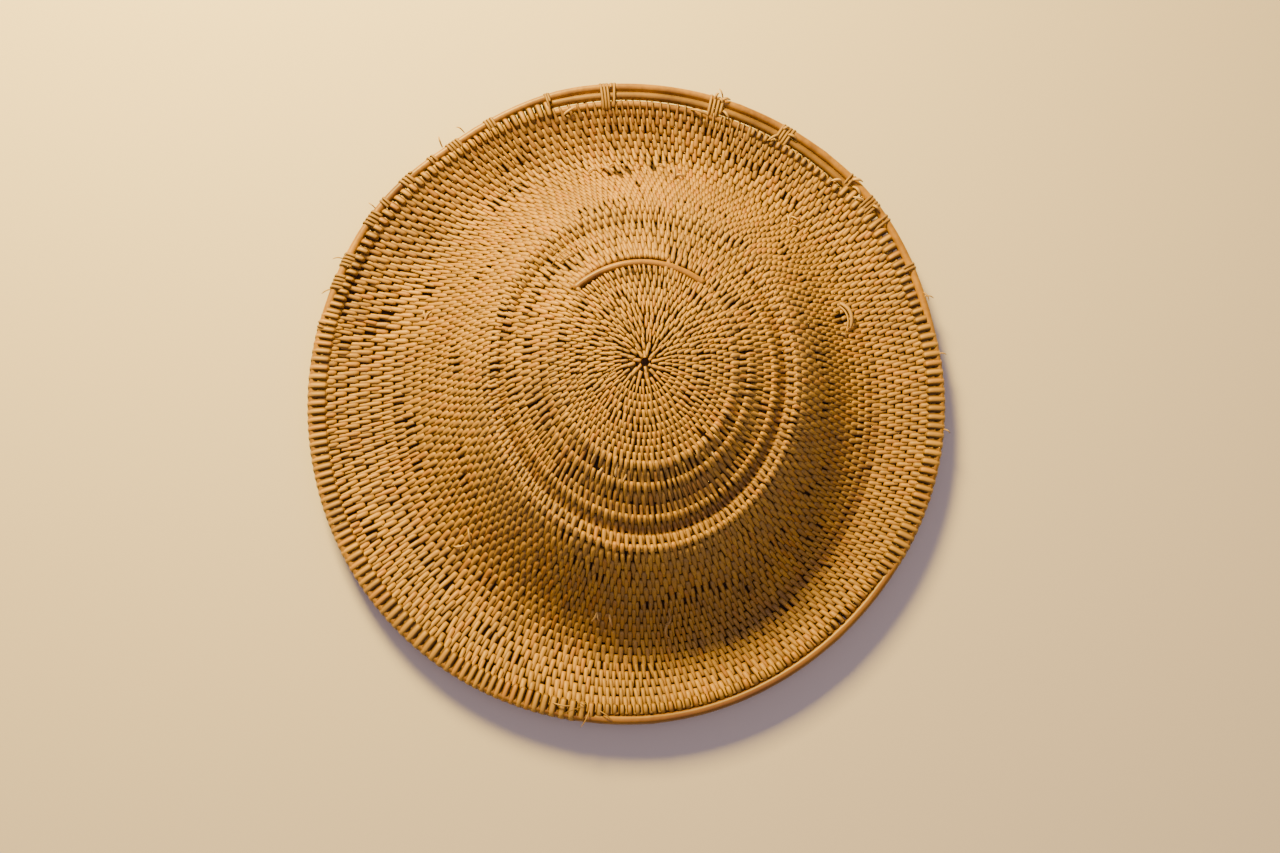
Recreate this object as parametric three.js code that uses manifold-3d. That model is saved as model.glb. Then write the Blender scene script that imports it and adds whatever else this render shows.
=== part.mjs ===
// A coiled rattan shield, lying on its back with the boss up. Millimetres, +Z up, +Y its upper edge.
import * as THREE from 'three';
import { mergeVertices } from 'three/addons/utils/BufferGeometryUtils.js';
import Module from 'manifold-3d';

// Driving sizes of the rim.
const rimRadius = 400; // outer edge of the hoop at the sides
const hoopThickness = 11;
const innerCaneThickness = 9.2;
const touchGap = 0.8; // clear space that touching canes keep
const bodyRadius = rimRadius - hoopThickness - touchGap;

// Driving sizes of the woven body. Heights are those of its front face above the ground.
const wallThickness = 12;
const discWall = 10; // the coil is thinner in the middle
const pitRadius = 4;
const pitDepth = 6;
const tipHeight = 154;
const discRadius = 106; // crest of the first ridge
const discEdgeHeight = 141;
const grooveRadius = 169;
const grooveHeight = 106;
const ringRadius = 190; // outer foot of the two proud rows outside the groove
const ringFootHeight = 103;
const valleyRadius = 314; // where the slope turns into the brim
const valleyHeight = wallThickness;
const brimHeight = 36;
const edgeRounding = 5;
const flatWidth = 12; // ground flat under the valley

// Rows of the coil that stand proud of the face: radius, rise and half width.
const proudRows = [
  { radius: discRadius, rise: 3, halfWidth: 7 },
  { radius: 125, rise: 3, halfWidth: 7 },
  { radius: 155.5, rise: 4, halfWidth: 7 },
  { radius: 175, rise: 5, halfWidth: 5 },
  { radius: 184, rise: 5, halfWidth: 5 },
];

// How far the shield is out of round: the boss is taller than wide and sits right of the middle.
const bossStretch = 1.13;
const rimStretch = 1.02;
const bossShift = 13;

// Bearings are degrees clockwise from +Y. The brim is pressed in at the lower right and out at the left.
const brimBends = [
  { bearing: 135, halfWidth: 50, out: -6 },
  { bearing: -135, halfWidth: 45, out: 3 },
];

// The hoop has sprung off the body along the top, and a little at the upper left.
const hoopSpring = 13;
const springRise = [-40, -8];
const springFall = [44, 84];
const sideSpring = { bearing: -54, halfWidth: 22, out: 4 };
const lashingBearings = [-5, 16, 31, 46];
const lashingThickness = 1.4;
const lashingWidth = 8;
const innerCaneFrom = -16;
const innerCaneTo = 48;

// Bars across the back for forearm and hand, from their upper end to their lower end.
const barThickness = 12;
const barHeight = 14;
const armBar = { top: [-152, 250], bottom: [-186, -250] };
const handBar = { top: [196, 250], bottom: [152, -250] };

// Facets.
const turnSteps = 72;
const caneSides = 6;
const barSides = 8;
const discSteps = 4;
const slopeSteps = 6;
const brimSteps = 3;
const hollowSteps = 5;

// The body sits lower by half of what stands out at the top, so that the whole outline is centred.
const bodyDrop = -(hoopSpring * rimStretch + lashingThickness) / 2;

const radians = (degrees) => (degrees * Math.PI) / 180;
const smooth = THREE.MathUtils.smoothstep;
const mix = THREE.MathUtils.lerp;

function stretchAt(radius) {
  return mix(bossStretch, rimStretch, smooth(radius, ringRadius, bodyRadius));
}

function shiftAt(radius) {
  return bossShift * (1 - smooth(radius, ringRadius, bodyRadius));
}

function bearingOf(x, y) {
  return THREE.MathUtils.radToDeg(Math.atan2(x, y));
}

// A soft bump of an edge, highest at its own bearing.
function bendAt(bend, bearing) {
  const turned = ((bearing - bend.bearing + 540) % 360) - 180;
  const away = Math.abs(turned) / bend.halfWidth;
  return away < 1 ? bend.out * Math.cos((away * Math.PI) / 2) ** 2 : 0;
}

function brimOffset(bearing) {
  return brimBends.reduce((sum, bend) => sum + bendAt(bend, bearing), 0);
}

// Turns a round layout into the real, slightly oval one.
function warp(point) {
  const radius = Math.hypot(point.x, point.y);
  const outer = smooth(radius, valleyRadius, bodyRadius);
  const grow = radius > 0 ? 1 + (brimOffset(bearingOf(point.x, point.y)) * outer) / radius : 1;
  point.x = point.x * grow + shiftAt(radius);
  point.y = point.y * grow * stretchAt(radius) + bodyDrop;
  return point;
}

function warpGeometry(geometry) {
  const positions = geometry.getAttribute('position');
  const point = new THREE.Vector3();
  for (let i = 0; i < positions.count; i += 1) {
    warp(point.fromBufferAttribute(positions, i));
    positions.setXYZ(i, point.x, point.y, point.z);
  }
  geometry.computeVertexNormals();
  return geometry;
}

// The face without its proud rows: low dome, stepped shoulder, slope, brim.
function smoothHeight(radius) {
  if (radius < discRadius) {
    return mix(tipHeight, discEdgeHeight, (radius / discRadius) ** 2);
  }
  if (radius < grooveRadius) {
    return mix(discEdgeHeight, grooveHeight, (radius - discRadius) / (grooveRadius - discRadius));
  }
  if (radius < ringRadius) {
    return mix(grooveHeight, ringFootHeight, (radius - grooveRadius) / (ringRadius - grooveRadius));
  }
  if (radius < valleyRadius) {
    const along = (radius - ringRadius) / (valleyRadius - ringRadius);
    return mix(ringFootHeight, valleyHeight, Math.sin((along * Math.PI) / 2) ** 1.12);
  }
  const out = (radius - valleyRadius) / (bodyRadius - valleyRadius);
  return mix(valleyHeight, brimHeight, out ** 1.4);
}

function faceHeight(radius) {
  let height = smoothHeight(radius);
  for (const row of proudRows) {
    const away = Math.abs(radius - row.radius) / row.halfWidth;
    if (away < 1) {
      height += row.rise * Math.cos((away * Math.PI) / 2);
    }
  }
  return height;
}

function wallAt(radius) {
  return mix(discWall, wallThickness, smooth(radius, discRadius, ringRadius));
}

// The point of the back that lies one wall behind the face, never below the ground.
function backPoint(radius) {
  const span = 4;
  const rise = (smoothHeight(radius + span) - smoothHeight(Math.max(radius - span, 0))) / (2 * span);
  const across = Math.hypot(1, rise);
  const wall = wallAt(radius);
  const height = smoothHeight(radius) - wall / across;
  return new THREE.Vector2(radius + (wall * rise) / across, Math.max(height, 0));
}

// Radii in equal steps from one ring to another, without the last one.
function radiiBetween(from, to, steps) {
  return Array.from({ length: steps }, (_, i) => mix(from, to, i / steps));
}

function facePoint(radius) {
  return new THREE.Vector2(radius, faceHeight(radius));
}

function frontProfile() {
  const radii = radiiBetween(2 * pitRadius, discRadius - proudRows[0].halfWidth, discSteps);
  for (const row of proudRows) {
    const foot = row.halfWidth * 0.9;
    radii.push(row.radius - foot, row.radius, row.radius + foot);
  }
  radii.push(grooveRadius);
  radii.push(...radiiBetween(ringRadius, valleyRadius, slopeSteps).slice(1));
  radii.push(...radiiBetween(valleyRadius, bodyRadius - edgeRounding, brimSteps));
  radii.push(bodyRadius - edgeRounding);
  radii.sort((a, b) => a - b);
  const nearest = 1.5; // the feet of neighbouring rows share one point
  return radii.filter((radius, i) => i === 0 || radius - radii[i - 1] > nearest).map(facePoint);
}

function backProfile() {
  const flatInner = valleyRadius - flatWidth / 2;
  const flatOuter = valleyRadius + flatWidth / 2;
  const brim = radiiBetween(bodyRadius - edgeRounding, valleyRadius + flatWidth, 2).map(backPoint);
  const slope = radiiBetween(valleyRadius - 3 * flatWidth, ringRadius, hollowSteps).map(backPoint);
  const boss = radiiBetween(ringRadius, 0, hollowSteps).map(backPoint);
  return [...brim, new THREE.Vector2(flatOuter, 0), new THREE.Vector2(flatInner, 0), ...slope, ...boss];
}

function wovenBody() {
  const pitFloor = tipHeight - pitDepth;
  const profile = [
    new THREE.Vector2(0, pitFloor),
    new THREE.Vector2(pitRadius, pitFloor),
    ...frontProfile(),
    new THREE.Vector2(bodyRadius, brimHeight - wallThickness * 0.35),
    new THREE.Vector2(bodyRadius, brimHeight - wallThickness * 0.65),
    ...backProfile(),
    new THREE.Vector2(0, tipHeight - discWall),
  ];
  // The profile runs from the front to the back, so the list is turned to face the lathe outward.
  const lathe = new THREE.LatheGeometry(profile.reverse(), turnSteps);
  lathe.rotateX(Math.PI / 2);
  return warpGeometry(lathe);
}

// How far the hoop stands off its place on the body.
function springAt(bearing) {
  const top = smooth(bearing, ...springRise) * (1 - smooth(bearing, ...springFall));
  return hoopSpring * top + bendAt(sideSpring, bearing);
}

const hoopHeight = brimHeight - wallThickness * 0.45;
const hoopLine = rimRadius - hoopThickness / 2;

function rimPoint(bearing, radius, height) {
  const angle = radians(bearing);
  const out = radius + brimOffset(bearing);
  return new THREE.Vector3(Math.sin(angle) * out, Math.cos(angle) * out * rimStretch + bodyDrop, height);
}

function hoopRing() {
  const ring = new THREE.TorusGeometry(hoopLine, hoopThickness / 2, caneSides, turnSteps);
  const positions = ring.getAttribute('position');
  for (let i = 0; i < positions.count; i += 1) {
    const x = positions.getX(i);
    const y = positions.getY(i);
    const bearing = bearingOf(x, y);
    const place = rimPoint(bearing, Math.hypot(x, y) + springAt(bearing), positions.getZ(i) + hoopHeight);
    positions.setXYZ(i, place.x, place.y, place.z);
  }
  return ring;
}

function lashingCollar(bearing) {
  const radius = hoopThickness / 2 + lashingThickness;
  const collar = new THREE.CylinderGeometry(radius, radius, lashingWidth, barSides);
  collar.rotateZ(Math.PI / 2 - radians(bearing));
  const place = rimPoint(bearing, hoopLine + springAt(bearing), hoopHeight);
  collar.translate(place.x, place.y, place.z);
  return collar;
}

const wasm = await Module();
wasm.setup();

function toSolid(geometry) {
  const bare = geometry.clone();
  bare.deleteAttribute('normal');
  bare.deleteAttribute('uv');
  const merged = mergeVertices(bare, 1e-3);
  return new wasm.Manifold(new wasm.Mesh({
    numProp: 3,
    vertProperties: new Float32Array(merged.getAttribute('position').array),
    triVerts: new Uint32Array(merged.getIndex().array),
  }));
}

function toGeometry(solid) {
  const mesh = solid.getMesh();
  const geometry = new THREE.BufferGeometry();
  geometry.setAttribute('position', new THREE.BufferAttribute(mesh.vertProperties, 3));
  geometry.setIndex(new THREE.BufferAttribute(mesh.triVerts, 1));
  geometry.computeVertexNormals();
  return geometry;
}

function rimHoop() {
  let hoop = toSolid(hoopRing());
  for (const bearing of lashingBearings) {
    hoop = hoop.add(toSolid(lashingCollar(bearing)));
  }
  return toGeometry(hoop);
}

function circleShape(diameter, sides) {
  const shape = new THREE.Shape();
  for (let i = 0; i < sides; i += 1) {
    const angle = (2 * Math.PI * i) / sides;
    const x = (Math.cos(angle) * diameter) / 2;
    const y = (Math.sin(angle) * diameter) / 2;
    if (i === 0) {
      shape.moveTo(x, y);
    } else {
      shape.lineTo(x, y);
    }
  }
  return shape;
}

function caneAlong(points, diameter, sides, steps) {
  const route = new THREE.CatmullRomCurve3(points);
  return new THREE.ExtrudeGeometry(circleShape(diameter, sides), { extrudePath: route, steps });
}

function innerRimCane() {
  const points = [];
  const line = bodyRadius + touchGap + innerCaneThickness / 2;
  for (let bearing = innerCaneFrom; bearing <= innerCaneTo; bearing += 8) {
    points.push(rimPoint(bearing, line, hoopHeight));
  }
  return caneAlong(points, innerCaneThickness, caneSides, 2 * (points.length - 1));
}

// Height of the back above a place on the ground.
function backHeightAt(x, y) {
  let radius = Math.hypot(x, y);
  for (let i = 0; i < 12; i += 1) {
    radius = Math.hypot(x - shiftAt(radius), (y - bodyDrop) / stretchAt(radius));
  }
  let nominal = radius;
  for (let i = 0; i < 12; i += 1) {
    nominal += radius - backPoint(nominal).x;
  }
  return backPoint(nominal).y;
}

// A bar grows from its middle until its end meets the sloping back.
function barEnd(from, to) {
  const reach = new THREE.Vector2(...to).sub(new THREE.Vector2(...from));
  const middle = new THREE.Vector2(...from).addScaledVector(reach, 0.5);
  const side = barThickness / 2;
  const top = barHeight + side + touchGap;
  const outward = Math.sign(middle.x) * side;
  let end = middle.clone();
  for (let share = 0.5; share <= 1; share += 0.002) {
    const next = new THREE.Vector2(...from).addScaledVector(reach, share);
    if (backHeightAt(next.x + outward, next.y) < top) {
      break;
    }
    end = next;
  }
  return end;
}

function backBar(bar) {
  const bottom = barEnd(bar.top, bar.bottom);
  const top = barEnd(bar.bottom, bar.top);
  const points = [0, 0.25, 0.5, 0.75, 1].map((share) => new THREE.Vector3(
    mix(bottom.x, top.x, share),
    mix(bottom.y, top.y, share),
    barHeight - 2 * Math.sin(share * Math.PI),
  ));
  return caneAlong(points, barThickness, barSides, 10);
}

function piece(name, geometry, color, roughness) {
  const material = new THREE.MeshStandardMaterial({ color, roughness, metalness: 0 });
  const mesh = new THREE.Mesh(geometry, material);
  mesh.name = name;
  return mesh;
}

const wovenColor = '#a98045';
const caneColor = '#b9822f';
const barColor = '#8f6a3a';

const shield = new THREE.Group();
shield.add(
  piece('woven_body', wovenBody(), wovenColor, 0.6),
  piece('rim_hoop', rimHoop(), caneColor, 0.4),
  piece('inner_rim_cane', innerRimCane(), caneColor, 0.45),
  piece('arm_bar', backBar(armBar), barColor, 0.6),
  piece('hand_bar', backBar(handBar), barColor, 0.6),
);

export default shield;
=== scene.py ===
"""A coiled rattan shield, lying on its back with the boss up.

The solids give the form. Here the binding is laid over it strip by strip: every split-rattan strip comes
up between two coils, bulges over the outer one, narrows, and dives again one coil further out.
Sizes are in millimetres until a mesh is made, and bearings are degrees clockwise from the upper edge.
"""

import math

import bmesh
import bpy
import numpy as np
from mathutils import Matrix, Vector


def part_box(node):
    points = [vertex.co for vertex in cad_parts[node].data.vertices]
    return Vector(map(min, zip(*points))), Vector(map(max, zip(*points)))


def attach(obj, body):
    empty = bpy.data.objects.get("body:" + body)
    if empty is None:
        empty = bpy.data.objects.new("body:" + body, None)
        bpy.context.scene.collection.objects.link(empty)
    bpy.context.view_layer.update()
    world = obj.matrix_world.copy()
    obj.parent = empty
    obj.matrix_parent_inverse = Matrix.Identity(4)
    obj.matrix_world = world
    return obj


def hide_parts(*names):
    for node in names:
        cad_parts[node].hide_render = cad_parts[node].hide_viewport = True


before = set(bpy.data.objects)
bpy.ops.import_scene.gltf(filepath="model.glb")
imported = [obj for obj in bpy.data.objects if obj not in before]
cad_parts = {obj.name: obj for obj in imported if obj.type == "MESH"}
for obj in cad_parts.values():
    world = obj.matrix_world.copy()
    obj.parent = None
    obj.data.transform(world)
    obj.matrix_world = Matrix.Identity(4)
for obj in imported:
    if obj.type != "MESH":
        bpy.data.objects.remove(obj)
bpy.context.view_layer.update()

MM = 0.001
chance = np.random.default_rng(11)

# The form of the solids, as the part's own source has it. A proud row is its radius, its rise and half its
# width. A bend or a side spring is its bearing, half its width in degrees and how far out it goes.
RIM_RADIUS = 400.0
HOOP_THICKNESS = 11.0
TOUCH_GAP = 0.8
BODY_RADIUS = RIM_RADIUS - HOOP_THICKNESS - TOUCH_GAP
WALL = 12.0
DISC_WALL = 10.0
PIT_RADIUS = 4.0
PIT_DEPTH = 6.0
TIP_HEIGHT = 154.0
DISC_RADIUS = 106.0
DISC_EDGE_HEIGHT = 141.0
GROOVE_RADIUS = 169.0
GROOVE_HEIGHT = 106.0
RING_RADIUS = 190.0
RING_FOOT_HEIGHT = 103.0
VALLEY_RADIUS = 314.0
VALLEY_HEIGHT = WALL
BRIM_HEIGHT = 36.0
SLOPE_FULLNESS = 1.12
BRIM_CURL = 1.4
PROUD_ROWS = ((106.0, 3.0, 7.0), (125.0, 3.0, 7.0), (155.5, 4.0, 7.0), (175.0, 5.0, 5.0), (184.0, 5.0, 5.0))
BOSS_STRETCH = 1.13
RIM_STRETCH = 1.02
BOSS_SHIFT = 13.0
BRIM_BENDS = ((135.0, 50.0, -6.0), (-135.0, 45.0, 3.0))
HOOP_SPRING = 13.0  # how far the hoop stands off along the top, and the bearings where it leaves and returns
SPRING_RISE = (-40.0, -8.0)
SPRING_FALL = (44.0, 84.0)
SIDE_SPRING = (-54.0, 22.0, 4.0)
LASHING_THICKNESS = 1.4
BODY_DROP = -(HOOP_SPRING * RIM_STRETCH + LASHING_THICKNESS) / 2
HOOP_HEIGHT = BRIM_HEIGHT - WALL * 0.45
HOOP_LINE = RIM_RADIUS - HOOP_THICKNESS / 2
INNER_CANE = 9.2
INNER_CANE_ENDS = (-16.0, 48.0)

# Where the visible form goes beyond the solids: the proud rows lie lower along the upper side.
FLATTENED = 0.6
FLAT_SPREAD = 62.0
FRONT_SPAN = 1.5  # half the stretch over which the steepness of the face is taken, and of the back
BACK_SPAN = 4.0
FLOOR_GAP = 0.1
CORE_DEPTH = 4.2  # how deep the core lies under the face, and its share of that under the back
CORE_BACK_SHARE = 0.75
CORE_FRONT = (PIT_RADIUS + 2, BODY_RADIUS - 6, 76)  # first and last radius and points of its profile
CORE_BACK = (BODY_RADIUS - 8, 12, 30)
CORE_EDGE = BODY_RADIUS - 4
CORE_STEPS = 180

# The coil: radii of the lines between rows, counted from the middle.
DISC_ROWS = 12
OUTER_ROWS = 20
SHOULDER_LINES = (98.5, 109.5, 119.0, 130.0, 140.5, 150.0, 160.5, 169.5, 179.5, 189.5)
COIL_START = 5.0
SLOPE_SAMPLES = 800
WINDING_ROWS = (7.0, 12.0)  # over these rows even winding passes into rows that step out at the seam
SEAM = (258.0, 318.0)  # bearings over which a row steps out to the next one, at the upper left
ROW_DRIFT = 8.0  # how far the rows of the slope lie further out at the right, and further in at the left

# One strip, from where it comes up to where it dives: place in rows, share of the pitch, lift.
STRIP_PLACES = (0.03, 0.12, 0.45, 0.95, 1.35, 1.86, 2.0)
STRIP_WIDTHS = (0.50, 0.68, 0.74, 0.68, 0.62, 0.52, 0.40)
STRIP_LIFTS = (-4.0, -0.5, 0.5, 0.1, -0.5, -0.8, -4.0)
STRIP_THICKNESS = 1.6
UNDERSIDE = 0.3  # share of the crown that the flat underside has
STRIP_LEAN = -8.0  # degrees from straight out
ROW_WIDTH = 11.0  # what a strip crosses on the way to the next row
DIVE_DEPTH = 4.4
PITCH_RADII = (8.0, 50.0, 100.0, 185.0, 300.0, 400.0)
PITCHES = (5.0, 6.8, 7.8, 9.0, 10.0, 10.6)
LEAST_DEGREE = 0.4  # a degree near the middle counts as at least this many millimetres
WIDE_GAP = (1.15, 1.35)  # gap in pitches past which one more strip is sewn in
NARROW_GAP = 0.4  # gap under which one is left out
EVENING_ROUNDS = 6
# How strips differ by chance: reach in rows, lean in degrees, shift and lift in millimetres, shares.
REACH_SPREAD = 0.06
LEAN_SPREAD = 2.5
SHIFT_SPREAD = 0.25
THICKNESS_RANGE = (0.85, 1.2)
WIDTH_RANGE = (0.94, 1.08)
LIFT_RANGE = (-0.45, 0.25)
PATTERN_RANGE = 900.0

# Where the binding is worn, by bearing: the bare stretch of the first ridge and of the last coil.
BARE_ROW = DISC_ROWS + 1
BARE_ARC = (-42.0, 35.0)
BOUND_AGAIN = (14.0, 22.0)  # a few strips within the bare stretch still hold
CUT_SHORT = 0.5  # reach of the strips that end at the bare stretch
LATE_START = 0.94  # where the strips of the bare row begin to show, and their reach
LATE_REACH = 0.53
BESIDE_BARE = 0.78  # share of their width that the strips beside it keep
BARE_EDGE = (-15.5, 24.0)
TOP_ROWS = 2.6  # the rows under the bare last coil, whose strips have narrow tails
TAIL_START = 0.8
TAIL_WIDTH = 0.62
# Where the last strips hide the hoop, counted on past 180, and how gently each stretch begins and ends.
COVERED_HOOP = ((76.0, 126.0), (186.0, 286.0))
COVER_FADE = 4.0
# The hoop's brown stretch at the lower right is dirt and painted shade.
HOOP_DIRT_AND_SHADE = (155.0, 48.0, 0.75)  # bearing, reach and strength of the hoop's brown stretch
# The strips of the last row: degrees round the coil, inner and outer radius, how far they bite into the
# hoop, height and thickness, how square they bend over the hoop, half their width in pitches, free and over
# the hoop, the share of it that their ends keep, their length, and how their first end is tucked in.
LOOP_POINTS = 28
WRAP_TURN = (158.0, -125.0)
WRAP_INNER = BODY_RADIUS - 12.2
WRAP_OUTER = BODY_RADIUS - 0.6
WRAP_OVER_HOOP = RIM_RADIUS + 0.2
WRAP_BITE = 0.4
WRAP_HEIGHT = 5.8
WRAP_THICKNESS = 0.9
WRAP_SQUARENESS = 0.75
WRAP_WIDTHS = (0.4, 0.46)
WRAP_ENDS = 0.85
WRAP_LENGTH = 14.0
TUCKED_SHARE = 0.06
TUCKED_DEPTH = 2.0
CANE_FADE = 3.0  # degrees over which the inner cane parts the wraps from the hoop
# Places where strips are torn away: radius, bearing, reach.
TORN_PLACES = ((93, 137, 3), (101, 119, 3), (120, 104, 3), (112, -153, 3), (119, -160, 3), (276, -2, 7),
               (284, -12.5, 5), (267, -4.5, 6), (283, 6, 5), (236, 0, 3), (152, -42, 6), (276, 71, 7),
               (128, 10, 3), (128, -12, 3))
# Darkened places, mostly painted shade: radius and its reach, bearing and its reach, strength. They are the
# upper edge (painted shadow of the curled brim, with dirt), the hollow between the ridges, the groove, the
# brim's right side, the lower left slope, the foot of the arc (painted shadow just inside the bare arc, with
# dirt), the lower right slope and valley, and four short stretches of the groove and the valley; the others
# are painted shade only.
STAINS_AND_SHADE = ((385, 36, 0, 27, 0.8), (141, 10, 178, 55, 0.5), (166, 5.5, 150, 62, 0.85),
          (352, 34, 100, 42, 0.3), (250, 60, 222, 26, 0.3), (97, 8, -2, 30, 0.5), (306, 9, 118, 34, 0.75),
          (168, 6, 80, 30, 0.5), (167, 5, 250, 40, 0.6), (118, 5, 235, 45, 0.35))
CANE_NODES = (-158, -121, -83, -66, -31, -14, 21, 39, 66, 104, 140, 176)
NODE_REACH = 0.9
NODE_SWELL = 0.07
# Lashings that still hold the hoop: bearing, turns, inner radius, width, how far they travel in degrees.
LASHINGS = ((-5, 2.6, 376, 3.0, 1.6), (-3.4, 1.2, 380, 3.0, -0.8), (16.5, 3.4, 383, 3.2, 2.6),
            (31, 3.4, 385, 3.2, -2.4), (46, 1.6, 392, 2.8, 1.2), (52, 3.4, 381, 3.2, 2.4),
            (56, 1.6, 382, 3.0, 1.4), (66, 1.4, 384, 3.2, 1.0), (-28, 2.4, 385, 3.2, 1.6),
            (-36, 3.6, 384, 3.4, 2.6), (-41, 1.4, 386, 2.8, 1.2), (-47, 3.2, 385, 3.4, 2.6),
            (-53, 1.4, 386, 3.0, -1.0), (-57, 3.4, 384, 3.4, 2.8), (-66, 3.6, 384, 3.4, 2.6),
            (-70.5, 3.4, 383, 3.6, 2.6), (-79, 1.6, 388, 2.2, -1.4), (-16, 1.3, 384, 3.2, 0.6))
LASHING_POINTS = 65
LASHING_STANDOFF = 0.9  # how far a lashing's middle line stands off the hoop
LASHING_LIFT = 0.6
LASHING_START = -0.6  # radians round the hoop at which it begins, and by which it stops short
LASHING_STOP = 0.2
LASHING_WIDENED = 1.35
LASHING_SHOWN = 1.8
# The bare canes: the inner cane as it shows, the last coil, and the arc on the first ridge, which widens
# away from its middle. Each runs on under the strips at its ends by a few degrees.
INNER_CANE_LINE = BODY_RADIUS + TOUCH_GAP + INNER_CANE / 2 + 2.0
INNER_CANE_SHOWN = INNER_CANE + 1.2
LAST_COIL_LINE = BODY_RADIUS - 4.0
LAST_COIL_HEIGHT = HOOP_HEIGHT - 2.6
LAST_COIL_THICKNESS = 10.6
LAST_COIL_TUCK = 4.0
ARC_RADIUS = 112.0
ARC_SPREAD = 3.5
ARC_MIDDLE = 4.0
ARC_REACH = 40.0
ARC_LIFT = -0.4
ARC_THICKNESS = 9.0
ARC_TUCK = 3.0
# The bars of the back, and the strips wound round them: where each starts and how far it goes, in shares
# of the length, and how far it stands off.
BAR_POINTS = 28
BAR_THICKNESS = 12.0
BAR_SIDE = 6.2  # how far the middle line stays inside the solid's box, across and along
BAR_END = 0.5
BAR_HEIGHT = 14.0
BAR_SAG = 2.0
BAR_WRAP_WIDTH = 3.4
BAR_WRAP_THICKNESS = 1.3
BAR_WRAP_TURNS = 3.0
GRIP_STEP = 0.02
GRIP_SWELL = 0.3
GRIP_STARTS = [0.3 + GRIP_STEP * index for index in range(20)]
TIE_STEP = 0.03
TIE_SWELL = 0.5
TIE_STARTS = (0.01, 0.05, 0.92, 0.96)
# Loose strip ends: how every one is drawn.
STRAND_POINTS = 12
OVER_EDGE_HEIGHT = HOOP_HEIGHT + 4.5
STRAND_ROOT = -3.0  # lift at the root and at the tip
STRAND_REST = 1.2
STRAND_THICKNESS = 1.4
STRAND_WIDENED = 1.25
STRAND_TAPER = (0.8, 1, 1, 0.9, 0.35)
THREAD_WIDTH = 1.3  # loose ends up to this width are threads, wider ones are strips
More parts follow.
